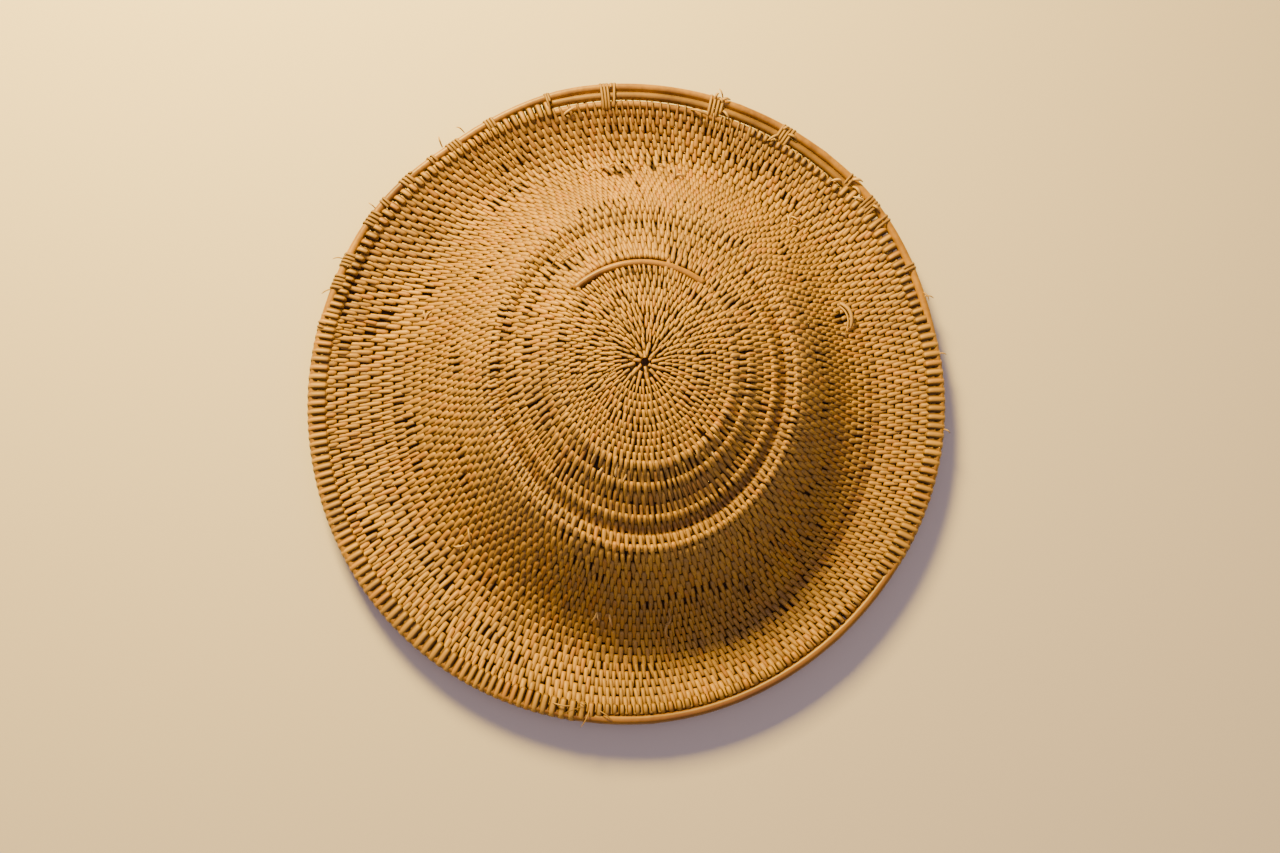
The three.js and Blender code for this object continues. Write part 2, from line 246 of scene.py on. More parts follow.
# Each one: radius, bearing, heading (0 outward, 90 clockwise), length, width, arch, curl.
STRANDS = (
    # Ties at the left, threads at the upper left.
    (279, -74, 100, 18, 2.4, 3, 40), (281, -73, 60, 14, 1.8, 3, -50),
    (303, -35, 60, 24, 1.1, 4, -40), (305, -34, 100, 26, 1.0, 4, 50), (304, -33, -90, 16, 1.2, 3, 20),
    (306, -33, 40, 20, 0.9, 5, 40),
    # Two ties at the top of the slope, with bits between them.
    (285, -9, 155, 24, 4.8, 10, -30), (285, -10.5, -110, 14, 2.4, 4, 20), (283, -7.5, 60, 12, 2.4, 5, 0),
    (286, 9, 165, 26, 4.8, 10, 30), (266, 10, 80, 16, 3.2, 7, -20), (286, 8, -60, 12, 1.8, 4, 0),
    (277, -3, -20, 12, 2.4, 5, 0), (274, 0, 30, 12, 2.2, 5, 0), (277, 2, 170, 12, 2.2, 4, 0),
    # Upper right, and the big loop at the right.
    (310, 41, 140, 20, 2.4, 3, 30), (310, 42, 80, 16, 2.0, 3, 30), (300, 44, 60, 12, 1.8, 2, 0),
    (286, 66.5, 95, 46, 4.4, 8, 100), (284, 67, 100, 42, 2.0, 6, 80), (270, 75, 40, 12, 3.0, 3, 60),
    # Lower right, the foot of the slope, lower left.
    (240, 149, 10, 40, 1.3, 5, -40), (244, 148, 20, 30, 1.0, 4, 50), (262, 146, 160, 24, 1.1, 5, 40),
    (262, 171, 0, 32, 2.6, 7, -110), (258, 171, 35, 18, 2.4, 5, 30), (250, 172, -10, 12, 1.9, 4, 20),
    (254, -169, 15, 17, 2.4, 5, 30), (255, -169, -30, 13, 2.0, 4, -20), (254, -172, -25, 20, 2.6, 5, 20),
    (272, -132, 120, 22, 2.2, 4, -60), (274, -131, 30, 16, 1.8, 4, 40),
    # Threads on the brim below.
    (382, -173, 20, 26, 1.2, 6, 30), (383, -172, 60, 30, 1.0, 6, -30), (381, -171, -20, 22, 1.2, 5, 40),
    (384, -170, 90, 26, 1.4, 5, 20), (384, -174, -60, 24, 1.2, 4, 30), (383, -172.5, 120, 18, 1.0, 5, 20),
    # Frayed ends round the edge.
    (398, 72, 30, 14, 1.6, 3, 30), (400, 71, 80, 16, 1.4, 3, 20), (397, 83, 20, 10, 1.4, 3, 10),
    (398, 97, 30, 10, 1.4, 3, 10), (398, -72, -50, 14, 1.6, 3, 10), (400, -66, -30, 14, 1.4, 4, 0),
    (401, -55, 0, 12, 1.4, 4, 10), (402, -38, 20, 14, 1.8, 5, 20), (403, -33, -30, 12, 1.6, 5, 10),
    # Ends of the lashings along the top.
    (404, 16, 15, 13, 3.2, 5, 20), (404, 17, 60, 16, 3.6, 5, 30), (402, 18, -50, 12, 2.8, 4, 0),
    (396, 18, 130, 18, 3.2, 5, -20), (402, 30, 40, 12, 3.0, 4, 20), (400, 31, 90, 18, 3.4, 5, 20),
    (396, 30, -150, 20, 3.2, 5, 20), (402, 46, 50, 18, 3.6, 5, 20), (400, 47, 100, 20, 3.4, 5, 20),
    (396, 45, -140, 16, 3.2, 4, 20), (401, 52, 80, 16, 3.2, 5, 0), (398, 51, -120, 18, 3.0, 5, 20),
    (386, 12, 100, 26, 3.6, 7, -40), (412, 17.5, -40, 14, 1.8, 4, 10), (376, -14, 70, 20, 3.0, 4, 20),
    # Broken strips under the edge of the disc.
    (97, 128, 10, 13, 2.6, 2, 10), (105, 133, -12, 14, 2.4, 2, 0), (98, 139, 5, 13, 2.6, 2, 0),
    (104, 146, 20, 12, 2.4, 2, 0), (110, 124, -15, 13, 2.6, 2, 10), (100, 118, 0, 12, 2.4, 2, 0),
    (92, 133, 15, 12, 2.4, 2, 0), (113, 139, 5, 12, 2.4, 2, 0), (107, -163, -10, 13, 2.6, 2, 0),
    (113, -156, 10, 12, 2.4, 2, 0), (106, -149, 0, 12, 2.4, 2, 0), (111, -170, 15, 12, 2.2, 2, 0),
    # Threads beside the boss.
    (154, -43, 95, 30, 1.0, 3, 10), (162, -44, 92, 34, 0.9, 3, -10), (170, -42, 96, 26, 0.9, 3, 10),
    (128, 36, 130, 26, 0.8, 2, 10),
)


def smoothstep(value, low, high):
    share = np.clip((value - low) / (high - low), 0.0, 1.0)
    return share * share * (3 - 2 * share)


def mix(start, end, share):
    return start + (end - start) * share


def from_top(bearing):
    """A bearing counted from the upper edge both ways, as -180 to 180 degrees."""
    return (bearing + 180.0) % 360.0 - 180.0


def points_at(x, y, height):
    """Points in metres from sizes in millimetres."""
    return np.stack(np.broadcast_arrays(x, y, height), axis=-1) * MM


def bend(bearing, middle, half_width, out):
    """A soft bump of an edge, highest at its own bearing."""
    away = np.abs(from_top(bearing - middle)) / half_width
    return np.where(away < 1, out * np.cos(np.minimum(away, 1) * np.pi / 2) ** 2, 0.0)


def brim_offset(bearing):
    return sum(bend(bearing, *values) for values in BRIM_BENDS)


def spring(bearing):
    """How far the hoop stands off its place on the body."""
    top = smoothstep(bearing, *SPRING_RISE) * (1 - smoothstep(bearing, *SPRING_FALL))
    return HOOP_SPRING * top + bend(bearing, *SIDE_SPRING)


def smooth_height(radius):
    """The face without its proud rows: low dome, stepped shoulder, slope and brim."""
    radius = np.asarray(radius, float)
    disc = mix(TIP_HEIGHT, DISC_EDGE_HEIGHT, (radius / DISC_RADIUS) ** 2)
    shoulder_share = (radius - DISC_RADIUS) / (GROOVE_RADIUS - DISC_RADIUS)
    shoulder = mix(DISC_EDGE_HEIGHT, GROOVE_HEIGHT, shoulder_share)
    ring = mix(GROOVE_HEIGHT, RING_FOOT_HEIGHT, (radius - GROOVE_RADIUS) / (RING_RADIUS - GROOVE_RADIUS))
    down = np.clip((radius - RING_RADIUS) / (VALLEY_RADIUS - RING_RADIUS), 0, 1)
    slope = mix(RING_FOOT_HEIGHT, VALLEY_HEIGHT, np.sin(down * np.pi / 2) ** SLOPE_FULLNESS)
    out = np.clip((radius - VALLEY_RADIUS) / (BODY_RADIUS - VALLEY_RADIUS), 0, None)
    brim = mix(VALLEY_HEIGHT, BRIM_HEIGHT, out ** BRIM_CURL)
    edges = [radius < DISC_RADIUS, radius < GROOVE_RADIUS, radius < RING_RADIUS, radius < VALLEY_RADIUS]
    return np.select(edges, [disc, shoulder, ring, slope], brim)


def face_height(radius, proud=1.0):
    """The face with its proud rows at a share of their full rise."""
    height = smooth_height(radius)
    for middle, rise, half_width in PROUD_ROWS:
        away = np.minimum(np.abs(radius - middle) / half_width, 1)
        height = height + proud * rise * np.cos(away * np.pi / 2)
    return height


def proud_share(bearing):
    """The proud rows lie flatter along the upper side of the boss."""
    return 1 - FLATTENED * np.exp(-(from_top(bearing) / FLAT_SPREAD) ** 2)


def wall_at(radius):
    return mix(DISC_WALL, WALL, smoothstep(radius, DISC_RADIUS, RING_RADIUS))


def steepness(height, radius, span):
    return (height(radius + span) - height(np.maximum(radius - span, 0.0))) / (2 * span)


def warp(radius, bearing, height):
    """Turns the round layout into the real, slightly oval one, in metres."""
    turn = np.radians(bearing)
    outer = smoothstep(radius, VALLEY_RADIUS, BODY_RADIUS)
    reach = radius + brim_offset(bearing) * outer
    round_off = smoothstep(radius, RING_RADIUS, BODY_RADIUS)
    x = np.sin(turn) * reach + BOSS_SHIFT * (1 - round_off)
    y = np.cos(turn) * reach * mix(BOSS_STRETCH, RIM_STRETCH, round_off) + BODY_DROP
    return points_at(x, y, height)


def on_front(radius, bearing, lift):
    """Points above the face by a lift taken square to it."""
    proud = proud_share(bearing)
    rise = steepness(lambda reach: face_height(reach, proud), radius, FRONT_SPAN)
    across = np.hypot(1, rise)
    return warp(radius - lift * rise / across, bearing, face_height(radius, proud) + lift / across)


def on_back(radius, bearing, lift):
    """Points beyond the back by a lift, and never through the floor."""
    rise = steepness(smooth_height, radius, BACK_SPAN)
    across = np.hypot(1, rise)
    depth = wall_at(radius) + lift
    height = np.maximum(smooth_height(radius) - depth / across, FLOOR_GAP)
    return warp(radius + depth * rise / across, bearing, height)


def coil_lines():
    """Radii of the lines between rows: even in the disc, as stated on the shoulder, even along the slope."""
    disc = np.linspace(COIL_START, SHOULDER_LINES[0], DISC_ROWS + 1)[:-1]
    fine = np.linspace(SHOULDER_LINES[-1], BODY_RADIUS, SLOPE_SAMPLES)
    length = np.append(0, np.cumsum(np.hypot(np.diff(fine), np.diff(smooth_height(fine)))))
    outer = np.interp(np.linspace(0, length[-1], OUTER_ROWS + 1), length, fine)[1:]
    return np.concatenate([disc, SHOULDER_LINES, outer])


LINES = coil_lines()
ROWS = len(LINES) - 1


def stepped_out(bearing):
    """Share of a row by which a turn of the coil has stepped out towards the next one."""
    return smoothstep(bearing % 360.0, *SEAM)


def coil_radius(row, bearing):
    """Radius at a place counted in rows: the coil winds out by one row in each turn."""
    turn = (bearing % 360.0) / 360.0
    wound = mix(turn, stepped_out(bearing), smoothstep(row, *WINDING_ROWS))
    radius = np.interp(row + wound, np.arange(ROWS + 1), LINES)
    share = np.clip((radius - RING_RADIUS) / (BODY_RADIUS - RING_RADIUS), 0, 1)
    return radius + ROW_DRIFT * np.sin(np.radians(bearing)) * np.sin(share * np.pi) ** 2


def mean_stretch(radius):
    """How much longer a turn is than a round one of its radius."""
    return (1 + mix(BOSS_STRETCH, RIM_STRETCH, smoothstep(radius, RING_RADIUS, BODY_RADIUS))) / 2


def degrees_per_pitch(turns):
    """Angle that one wanted strip spacing takes up, and the millimetres in a degree there."""
    rows = np.floor(turns / 360.0)
    radius = float(coil_radius(rows + 0.5, turns % 360.0))
    millimetres = math.radians(1.0) * radius * mean_stretch(radius)
    return np.interp(radius, PITCH_RADII, PITCHES) / millimetres, millimetres


def strip_table():
    """Every strip of one side in sewing order, as its row, its bearing and the pitch it has there."""
    first_pitch, _ = degrees_per_pitch(-180.0)
    turns = list(np.linspace(-360.0, 0.0, int(360.0 / first_pitch), endpoint=False))
    inner = 0
    while turns[-1] < 360.0 * ROWS:
        # A strip comes up between two strips of the turn before; where they stand wide, two come up.
        between = (turns[inner] + turns[inner + 1]) / 2 + 360.0
        pitch, millimetres = degrees_per_pitch(between)
        between += math.tan(math.radians(STRIP_LEAN)) * ROW_WIDTH / max(millimetres, LEAST_DEGREE)
        gap = between - turns[-1]
        if gap > pitch * chance.uniform(*WIDE_GAP):
            turns.append(turns[-1] + gap / 2)
        if gap > pitch * NARROW_GAP:
            turns.append(between)
        inner += 1
    turns = np.array(turns)
    for _ in range(EVENING_ROUNDS):
        turns[1:-1] = 0.25 * turns[:-2] + 0.5 * turns[1:-1] + 0.25 * turns[2:]
    rows = np.floor(turns / 360.0)
    bearings = turns % 360.0
    radius = coil_radius(rows + 0.5, bearings)
    return rows, bearings, np.radians(np.gradient(turns)) * radius * mean_stretch(radius)


def strip_form(name, sides, cuts):
    """A short prism along +Z that every strip is bent from."""
    shape = bmesh.new()
    bmesh.ops.create_cone(shape, cap_ends=True, segments=sides, radius1=1, radius2=1, depth=2)
    long_edges = [edge for edge in shape.edges if abs(edge.verts[0].co.z - edge.verts[1].co.z) > 1]
    bmesh.ops.subdivide_edges(shape, edges=long_edges, cuts=cuts)
    mesh = bpy.data.meshes.new(name)
    shape.to_mesh(mesh)
    shape.free()
    return mesh


def form_arrays(mesh):
    places = np.empty(len(mesh.vertices) * 3)
    mesh.vertices.foreach_get("co", places)
    corners = np.empty(len(mesh.loops), int)
    mesh.loops.foreach_get("vertex_index", corners)
    starts = np.empty(len(mesh.polygons), int)
    mesh.polygons.foreach_get("loop_start", starts)
    return places.reshape(-1, 3), corners, starts


def repeat_form(name, form, points, values):
    """One mesh of many copies of a form, each with its own points and its own values per point."""
    _, corners, starts = form_arrays(form)
    count, size = points.shape[:2]
    copies = np.arange(count)[:, None]
    mesh = bpy.data.meshes.new(name)
    mesh.vertices.add(count * size)
    mesh.vertices.foreach_set("co", points.ravel())
    mesh.loops.add(count * len(corners))
    mesh.loops.foreach_set("vertex_index", (corners + copies * size).ravel())
    mesh.polygons.add(count * len(starts))
    mesh.polygons.foreach_set("loop_start", (starts + copies * len(corners)).ravel())
    mesh.update(calc_edges=True)
    mesh.validate()
    for label, value in values.items():
        layer = mesh.attributes.new(label, "FLOAT", "POINT")
        layer.data.foreach_set("value", np.broadcast_to(value, (count, size)).ravel())
    mesh.shade_smooth()
    return mesh


def stain_and_shade_at(radius, bearing):
    """How far the binding is darkened at a place: mostly painted shade, with dirt at the upper edge and the
    arc's foot.
    """
    total = 0.0
    for middle, reach, facing, spread, strength in STAINS_AND_SHADE:
        away = from_top(bearing - facing)
        total = total + strength * np.exp(-((radius - middle) / reach) ** 2 - (away / spread) ** 2)
    return np.minimum(total, 1.0)


def lay_strips(name, form, table, surface, mirror):
    """Bends a copy of the form along the face or the back for every strip of the table."""
    places, _, _ = form_arrays(form)
    rows, bearings, pitches = (column[:, None] for column in table)
    count = len(rows)
    even = np.linspace(-1, 1, len(STRIP_PLACES))
    along = np.interp(places[:, 2], even, STRIP_PLACES)
    width = np.interp(places[:, 2], even, STRIP_WIDTHS)
    drop = np.interp(places[:, 2], even, STRIP_LIFTS)
    side = places[:, 0] * mirror
    crown = np.where(places[:, 1] > 0, places[:, 1], places[:, 1] * UNDERSIDE) * STRIP_THICKNESS
    reach = chance.uniform(-REACH_SPREAD, REACH_SPREAD, (count, 1))
    row = rows + along * (1 + reach * (along > 1))
    # Along the bare stretch the strips before it end early, and its own show only beyond it.
    aside = from_top(bearings)
    turn = rows + stepped_out(bearings)
    in_arc = (aside > BARE_ARC[0]) & (aside < BARE_ARC[1]) & (surface is on_front)
    in_arc &= (aside < BOUND_AGAIN[0]) | (aside > BOUND_AGAIN[1])
    row = np.where(in_arc & (turn == BARE_ROW - 1), rows + along * CUT_SHORT, row)
    row = np.where(in_arc & (turn == BARE_ROW), rows + LATE_START + along * LATE_REACH, row)
    two_before = (turn > BARE_ROW - 2.5) & (turn < BARE_ROW - 0.5)
    width = np.where(in_arc & two_before, width * BESIDE_BARE, width)
    # Under the bare last coil only the ends of the strips reach up, and these are narrow.
    at_top = (turn > ROWS - TOP_ROWS) & (aside > BARE_EDGE[0]) & (aside < BARE_EDGE[1])
    width = np.where(at_top & (along > TAIL_START), width * TAIL_WIDTH, width)
    radius = coil_radius(row, bearings)
    lean_angle = np.radians(STRIP_LEAN + chance.normal(0, LEAN_SPREAD, (count, 1)))
    run = radius - coil_radius(rows, bearings)
    sideways = np.tan(lean_angle) * run + chance.normal(0, SHIFT_SPREAD, (count, 1))
    thickness = chance.uniform(*THICKNESS_RANGE, (count, 1))
    half = pitches / 2 * width * chance.uniform(*WIDTH_RANGE, (count, 1))
    bearing = bearings + np.degrees((sideways + side * half) / np.maximum(radius, PIT_RADIUS))
    lift = drop + crown * thickness + chance.uniform(*LIFT_RANGE, (count, 1))
    values = {
        "tone": chance.uniform(0, 1, (count, 1)),
        "depth": np.clip(-drop / DIVE_DEPTH, 0, 1),
        "along": along * WALL + chance.uniform(0, PATTERN_RANGE, (count, 1)),
        "across": side * half,
        "stain_and_shade": stain_and_shade_at(radius, bearings),
        "edge": np.abs(places[:, 0]),
    }
    return repeat_form(name, form, surface(radius, bearing, lift), values)


def add_piece(name, mesh, material, slot, *nodes):
    """Puts a mesh in the scene as a piece that rides on the body, in place of the nodes given."""
    piece = bpy.data.objects.new(name, mesh)
    bpy.context.scene.collection.objects.link(piece)
    mesh.materials.append(material)
    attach(piece, "root")
    if nodes:
        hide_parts(*nodes)


def linear(hex_colour):
    """An sRGB hex colour as linear values."""
    channels = [int(hex_colour[i:i + 2], 16) / 255 for i in (1, 3, 5)]
    return [c / 12.92 if c <= 0.04045 else ((c + 0.055) / 1.055) ** 2.4 for c in channels] + [1.0]


def add_node(tree, kind, settings=None, inputs=None, stops=()):
    """Adds a node: sets its properties, sets or links its inputs, and sets the stops of a colour ramp."""
    node = tree.nodes.new(kind)
    for label, value in (settings or {}).items():
        setattr(node, label, value)
    for label, value in (inputs or {}).items():
        if isinstance(value, bpy.types.NodeSocket):
            tree.links.new(value, node.inputs[label])
        else:
            node.inputs[label].default_value = value
    for index, (place, colour) in enumerate(stops):
        elements = node.color_ramp.elements
        element = elements[index] if index < len(elements) else elements.new(place)
        element.position = place
        element.color = linear(colour)
    return node


def new_material(name, roughness, **constants):
    material = bpy.data.materials.new(name)
    material.use_nodes = True
    tree = material.node_tree
    shader = tree.nodes["Principled BSDF"]
    shader.inputs["Roughness"].default_value = roughness
    for label, value in constants.items():
        shader.inputs[label.replace("_", " ")].default_value = value
    return material, tree, shader


def strip_rattan(name, stops, roughness):
    """Split rattan skin: satin and golden, each strip its own tone, with dirt and painted shade where it
    dives into a hole.
    """
    material, tree, shader = new_material(name, roughness, IOR=RATTAN_IOR)
    place = add_node(tree, "ShaderNodeTexCoord").outputs["Object"]
    tone, depth, along, across, stain_and_shade, edge = (
        add_node(tree, "ShaderNodeAttribute", {"attribute_name": label}).outputs["Fac"]
        for label in ("tone", "depth", "along", "across", "stain_and_shade", "edge"))
    patch = add_node(tree, "ShaderNodeTexNoise", inputs={"Vector": place, "Scale": 9.0, "Detail": 3.0})
    # Fibres along the strip, really about three to the millimetre, drawn coarser so that they show.
    lengthwise = add_node(tree, "ShaderNodeCombineXYZ", inputs={"X": along, "Y": across})
    stretched = add_node(tree, "ShaderNodeMapping", inputs={
        "Vector": lengthwise.outputs["Vector"], "Scale": (0.12, 2.2, 1.0)})
    fibre = add_node(tree, "ShaderNodeTexNoise", inputs={
        "Vector": stretched.outputs["Vector"], "Scale": 1.0, "Detail": 2.0})
    # What lies over the bare tone: source, the values where it begins and is full, its most, its colour.
    layers = (
        (patch.outputs["Fac"], 0.42, 0.68, 0.55, DUST),  # in patches a hand wide
        (fibre.outputs["Fac"], 0.35, 0.7, 0.3, FIBRE_BROWN),
        # painted shade, with some wear and dirt, from the table of darkened places
        (stain_and_shade, 0.0, 1.0, 0.9, SHADE_AND_WEAR_BROWN),
        # painted shade along the sides where a strip meets the next one
        (edge, 0.5, 0.85, 0.75, EDGE_SHADE),  # where a strip meets the next one
        # dirt and painted shade where it dives
        (depth, 0.22, 0.95, 0.92, HOLE_DIRT_AND_SHADE),  # where it dives
    )
    colour = add_node(tree, "ShaderNodeValToRGB", inputs={"Fac": tone}, stops=stops).outputs["Color"]
    for value, begins, full, most, over in layers:
        share = add_node(tree, "ShaderNodeMapRange", inputs={
            "Value": value, "From Min": begins, "From Max": full, "To Max": most})
        colour = add_node(tree, "ShaderNodeMix", {"data_type": "RGBA"}, {
            0: share.outputs["Result"], 6: colour, 7: linear(over)}).outputs[2]
    tree.links.new(colour, shader.inputs["Base Color"])
    bump = add_node(tree, "ShaderNodeBump", inputs={
        "Strength": 0.25, "Distance": 0.0004, "Height": fibre.outputs["Fac"]})
    tree.links.new(bump.outputs["Normal"], shader.inputs["Normal"])
    return material


def bare_cane(name, light, dark, roughness):
    """Whole rattan cane with its skin on: smooth, amber, faintly streaked along its length."""
    material, tree, shader = new_material(name, roughness, IOR=RATTAN_IOR)
    place = add_node(tree, "ShaderNodeTexCoord").outputs["Object"]
    # Patches about 7 cm across, and specks of about 6 mm.
    patch = add_node(tree, "ShaderNodeTexNoise", inputs={"Vector": place, "Scale": 14.0, "Detail": 4.0})
    fine = add_node(tree, "ShaderNodeTexNoise", inputs={"Vector": place, "Scale": 160.0, "Detail": 2.0})
    both = add_node(tree, "ShaderNodeMath", {"operation": "MULTIPLY_ADD"}, {
        0: fine.outputs["Fac"], 1: 0.35, 2: patch.outputs["Fac"]})
    clean = add_node(tree, "ShaderNodeValToRGB", inputs={"Fac": both.outputs["Value"]},
                     stops=((0.45, light), (0.9, dark)))
    stain_and_shade = add_node(tree, "ShaderNodeAttribute", {"attribute_name": "stain_and_shade"})
    # browned where the attribute says: dirt and painted shade on the hoop's lower right stretch
    colour = add_node(tree, "ShaderNodeMix", {"data_type": "RGBA"}, {
        0: stain_and_shade.outputs["Fac"], 6: clean.outputs["Color"], 7: linear(HOOP_BROWN)})
    tree.links.new(colour.outputs[2], shader.inputs["Base Color"])
    bump = add_node(tree, "ShaderNodeBump", inputs={
        "Strength": 0.15, "Distance": 0.0005, "Height": fine.outputs["Fac"]})
    tree.links.new(bump.outputs["Normal"], shader.inputs["Normal"])
    return material


def dusty_shaded_core(name):
    """Cane core deep between the strips: matt, dark with dust and with painted shade of the deep holes."""
    material, tree, shader = new_material(name, 0.9)
    place = add_node(tree, "ShaderNodeTexCoord").outputs["Object"]
    # Patches about 17 mm across.
    patch = add_node(tree, "ShaderNodeTexNoise", inputs={"Vector": place, "Scale": 60.0, "Detail": 3.0})
    colour = add_node(tree, "ShaderNodeValToRGB", inputs={"Fac": patch.outputs["Fac"]},
                      stops=((0.35, "#2b1a0b"), (0.7, "#4a3115")))
    tree.links.new(colour.outputs["Color"], shader.inputs["Base Color"])
    return material


def turned_shell(name, profile, steps):
    """A closed shell turned from a profile of radius, height pairs, then warped to the real outline."""
    shape = bmesh.new()
    corners = [shape.verts.new((radius, 0, height)) for radius, height in profile]
    edges = [shape.edges.new(pair) for pair in zip(corners, corners[1:])]
    bmesh.ops.spin(shape, geom=corners + edges, axis=(0, 0, 1), cent=(0, 0, 0),
                   angle=2 * math.pi, steps=steps, use_merge=True)
    bmesh.ops.remove_doubles(shape, verts=shape.verts, dist=1e-4)
    bmesh.ops.recalc_face_normals(shape, faces=shape.faces)
    for vert in shape.verts:
        radius = math.hypot(vert.co.x, vert.co.y)
        bearing = math.degrees(math.atan2(vert.co.x, vert.co.y))
        vert.co = warp(radius, bearing, vert.co.z)
    mesh = bpy.data.meshes.new(name)
    shape.to_mesh(mesh)
    shape.free()
    mesh.shade_smooth()
    return mesh


def core_profile():
    """The core lies a strip and a half below the face and the back."""
    radii = np.linspace(*CORE_FRONT)
    rise = steepness(face_height, radii, FRONT_SPAN)
    across = np.hypot(1, rise)
    front = np.stack([radii + CORE_DEPTH * rise / across, face_height(radii) - CORE_DEPTH / across], axis=-1)
    inner = np.linspace(*CORE_BACK)
    rise = steepness(smooth_height, inner, BACK_SPAN)
    across = np.hypot(1, rise)
    depth = wall_at(inner) - CORE_DEPTH * CORE_BACK_SHARE
    back = np.stack([inner + depth * rise / across, smooth_height(inner) - depth / across], axis=-1)
    tip = (0.0, TIP_HEIGHT - PIT_DEPTH)
    heel = (0.0, back[-1][1])
    return [tip, *front, (CORE_EDGE, HOOP_HEIGHT), *back, heel]


def sweep(form, path, width, thickness, up, taper=None):
    """Bends a copy of the form along a path; up gives the side that the strip shows."""
    places, _, _ = form_arrays(form)
    share = (places[:, 2] + 1) / 2
    steps = np.linspace(0, 1, len(path))
    along = np.gradient(path, axis=0)
    along /= np.linalg.norm(along, axis=1, keepdims=True)
    side = np.cross(along, up)
    side /= np.linalg.norm(side, axis=1, keepdims=True)
    top = np.cross(side, along)
    size = 1.0 if taper is None else np.interp(share, np.linspace(0, 1, len(taper)), taper)
    across = (places[:, 0] * width / 2 * size)[:, None]
    above = (places[:, 1] * thickness / 2 * size)[:, None]
    middle, aside, upwards = (
        np.stack([np.interp(share, steps, column) for column in rows.T], axis=-1)
        for rows in (path, side, top))
    return middle + (aside * across + upwards * above) * MM


def swept_mesh(name, form, runs):
    """One mesh of several swept copies, each a dictionary of what sweep needs."""
    points = np.stack([sweep(form, **run) for run in runs])
    tones = chance.uniform(0, 1, (len(runs), 1))
    places, _, _ = form_arrays(form)
    # The fibres are drawn as on a strip 40 mm long and 4 mm wide.
    values = {"tone": tones, "depth": 0.0, "along": (places[:, 2] + 1) * 20, "across": places[:, 0] * 2}
    return repeat_form(name, form, points, values)


def rim_points(bearings, radius, height):
    """Points beside the rim, in metres."""
    turn = np.radians(bearings)
    out = radius + brim_offset(bearings)
    return points_at(np.sin(turn) * out, np.cos(turn) * out * RIM_STRETCH + BODY_DROP, height)


# Materials. Old rattan runs from straw to amber and dust greys it. A brown paints shade, with some wear and
# dirt; darker browns paint the shade where strips meet and where they dive, with dirt in the holes.
RATTAN_IOR = 1.5
DUST = "#957634"
FIBRE_BROWN = "#6f4c22"
SHADE_AND_WEAR_BROWN = "#5f3e1c"
EDGE_SHADE = "#4a2f12"
HOLE_DIRT_AND_SHADE = "#2e1c10"
HOOP_BROWN = "#6e4812"
STRAW_STOPS = ((0.0, "#9d7a32"), (0.35, "#b48b2d"), (0.7, "#c5992b"), (1.0, "#b37d22"))
OLD_STOPS = ((0.0, "#5f4722"), (0.6, "#8a6a34"), (1.0, "#b08c46"))
LASHING_STOPS = ((0.0, "#84642c"), (1.0, "#b08a3e"))
PALE_STOPS = ((0.0, "#b5904a"), (1.0, "#d8b56a"))
strip_skin = strip_rattan("split_rattan_skin", STRAW_STOPS, 0.5)
hoop_cane = bare_cane("smooth_rattan_cane", "#b48512", "#6f4a10", 0.42)
bar_cane = bare_cane("hand_worn_cane", "#96701c", "#63450f", 0.45)
old_strip = strip_rattan("weathered_strips", OLD_STOPS, 0.6)
lashing_strip = strip_rattan("lashing_strips", LASHING_STOPS, 0.55)
pale_strip = strip_rattan("pale_strip_ends", PALE_STOPS, 0.5)
core_cane = dusty_shaded_core("cane_core_dust_and_shade")

# The woven body.
fine_form = strip_form("strip_form", sides=6, cuts=5)
plain_form = strip_form("plain_strip_form", sides=4, cuts=3)
thread_form = strip_form("thread_form", sides=5, cuts=10)
loop_form = strip_form("loop_form", sides=4, cuts=LOOP_POINTS - 2)
lashing_form = strip_form("lashing_form", sides=4, cuts=LASHING_POINTS - 3)
table = strip_table()
outward = table[0] + stepped_out(table[1])
beyond = outward > ROWS - 1.6  # the last row and what lies past it
at_edge = beyond & (outward < ROWS - 0.6)


def torn_away():
    """Which strips of the table are torn away."""
    torn = np.zeros(len(table[0]), bool)
    middles = coil_radius(table[0] + 0.5, table[1])
    for radius, bearing, reach in TORN_PLACES:
        aside = np.radians(from_top(table[1] - bearing)) * radius
        torn |= np.hypot(middles - radius, aside) < reach
    return torn


def zone(first, last, gone):
    """The strips of the table from one row up to another, without those that are gone."""
    mask = ~gone & (table[0] >= first) & (table[0] < last)
    return [column[mask] for column in table]


RING_END = DISC_ROWS + len(SHOULDER_LINES) - 1
BRIM_START = RING_END + 12
BACK_PARTING = BRIM_START - 4
core_mesh = turned_shell("coil_core", core_profile(), CORE_STEPS)
add_piece("coil_core", core_mesh, core_cane, "woven_rattan", "woven_body")
missing = beyond | torn_away()
front_zones = {"boss": (-1, RING_END), "slope": (RING_END, BRIM_START), "brim": (BRIM_START, ROWS)}
for label, ends in front_zones.items():
    front = lay_strips(f"{label}_strips", fine_form, zone(*ends, missing), on_front, -1)
    add_piece(f"{label}_strips", front, strip_skin, "woven_rattan")
back_zones = {"inner": (-1, BACK_PARTING), "outer": (BACK_PARTING, ROWS)}
for label, ends in back_zones.items():
    back = lay_strips(f"{label}_back_strips", plain_form, zone(*ends, beyond), on_back, 1)
    add_piece(f"{label}_back_strips", back, strip_skin, "woven_rattan")


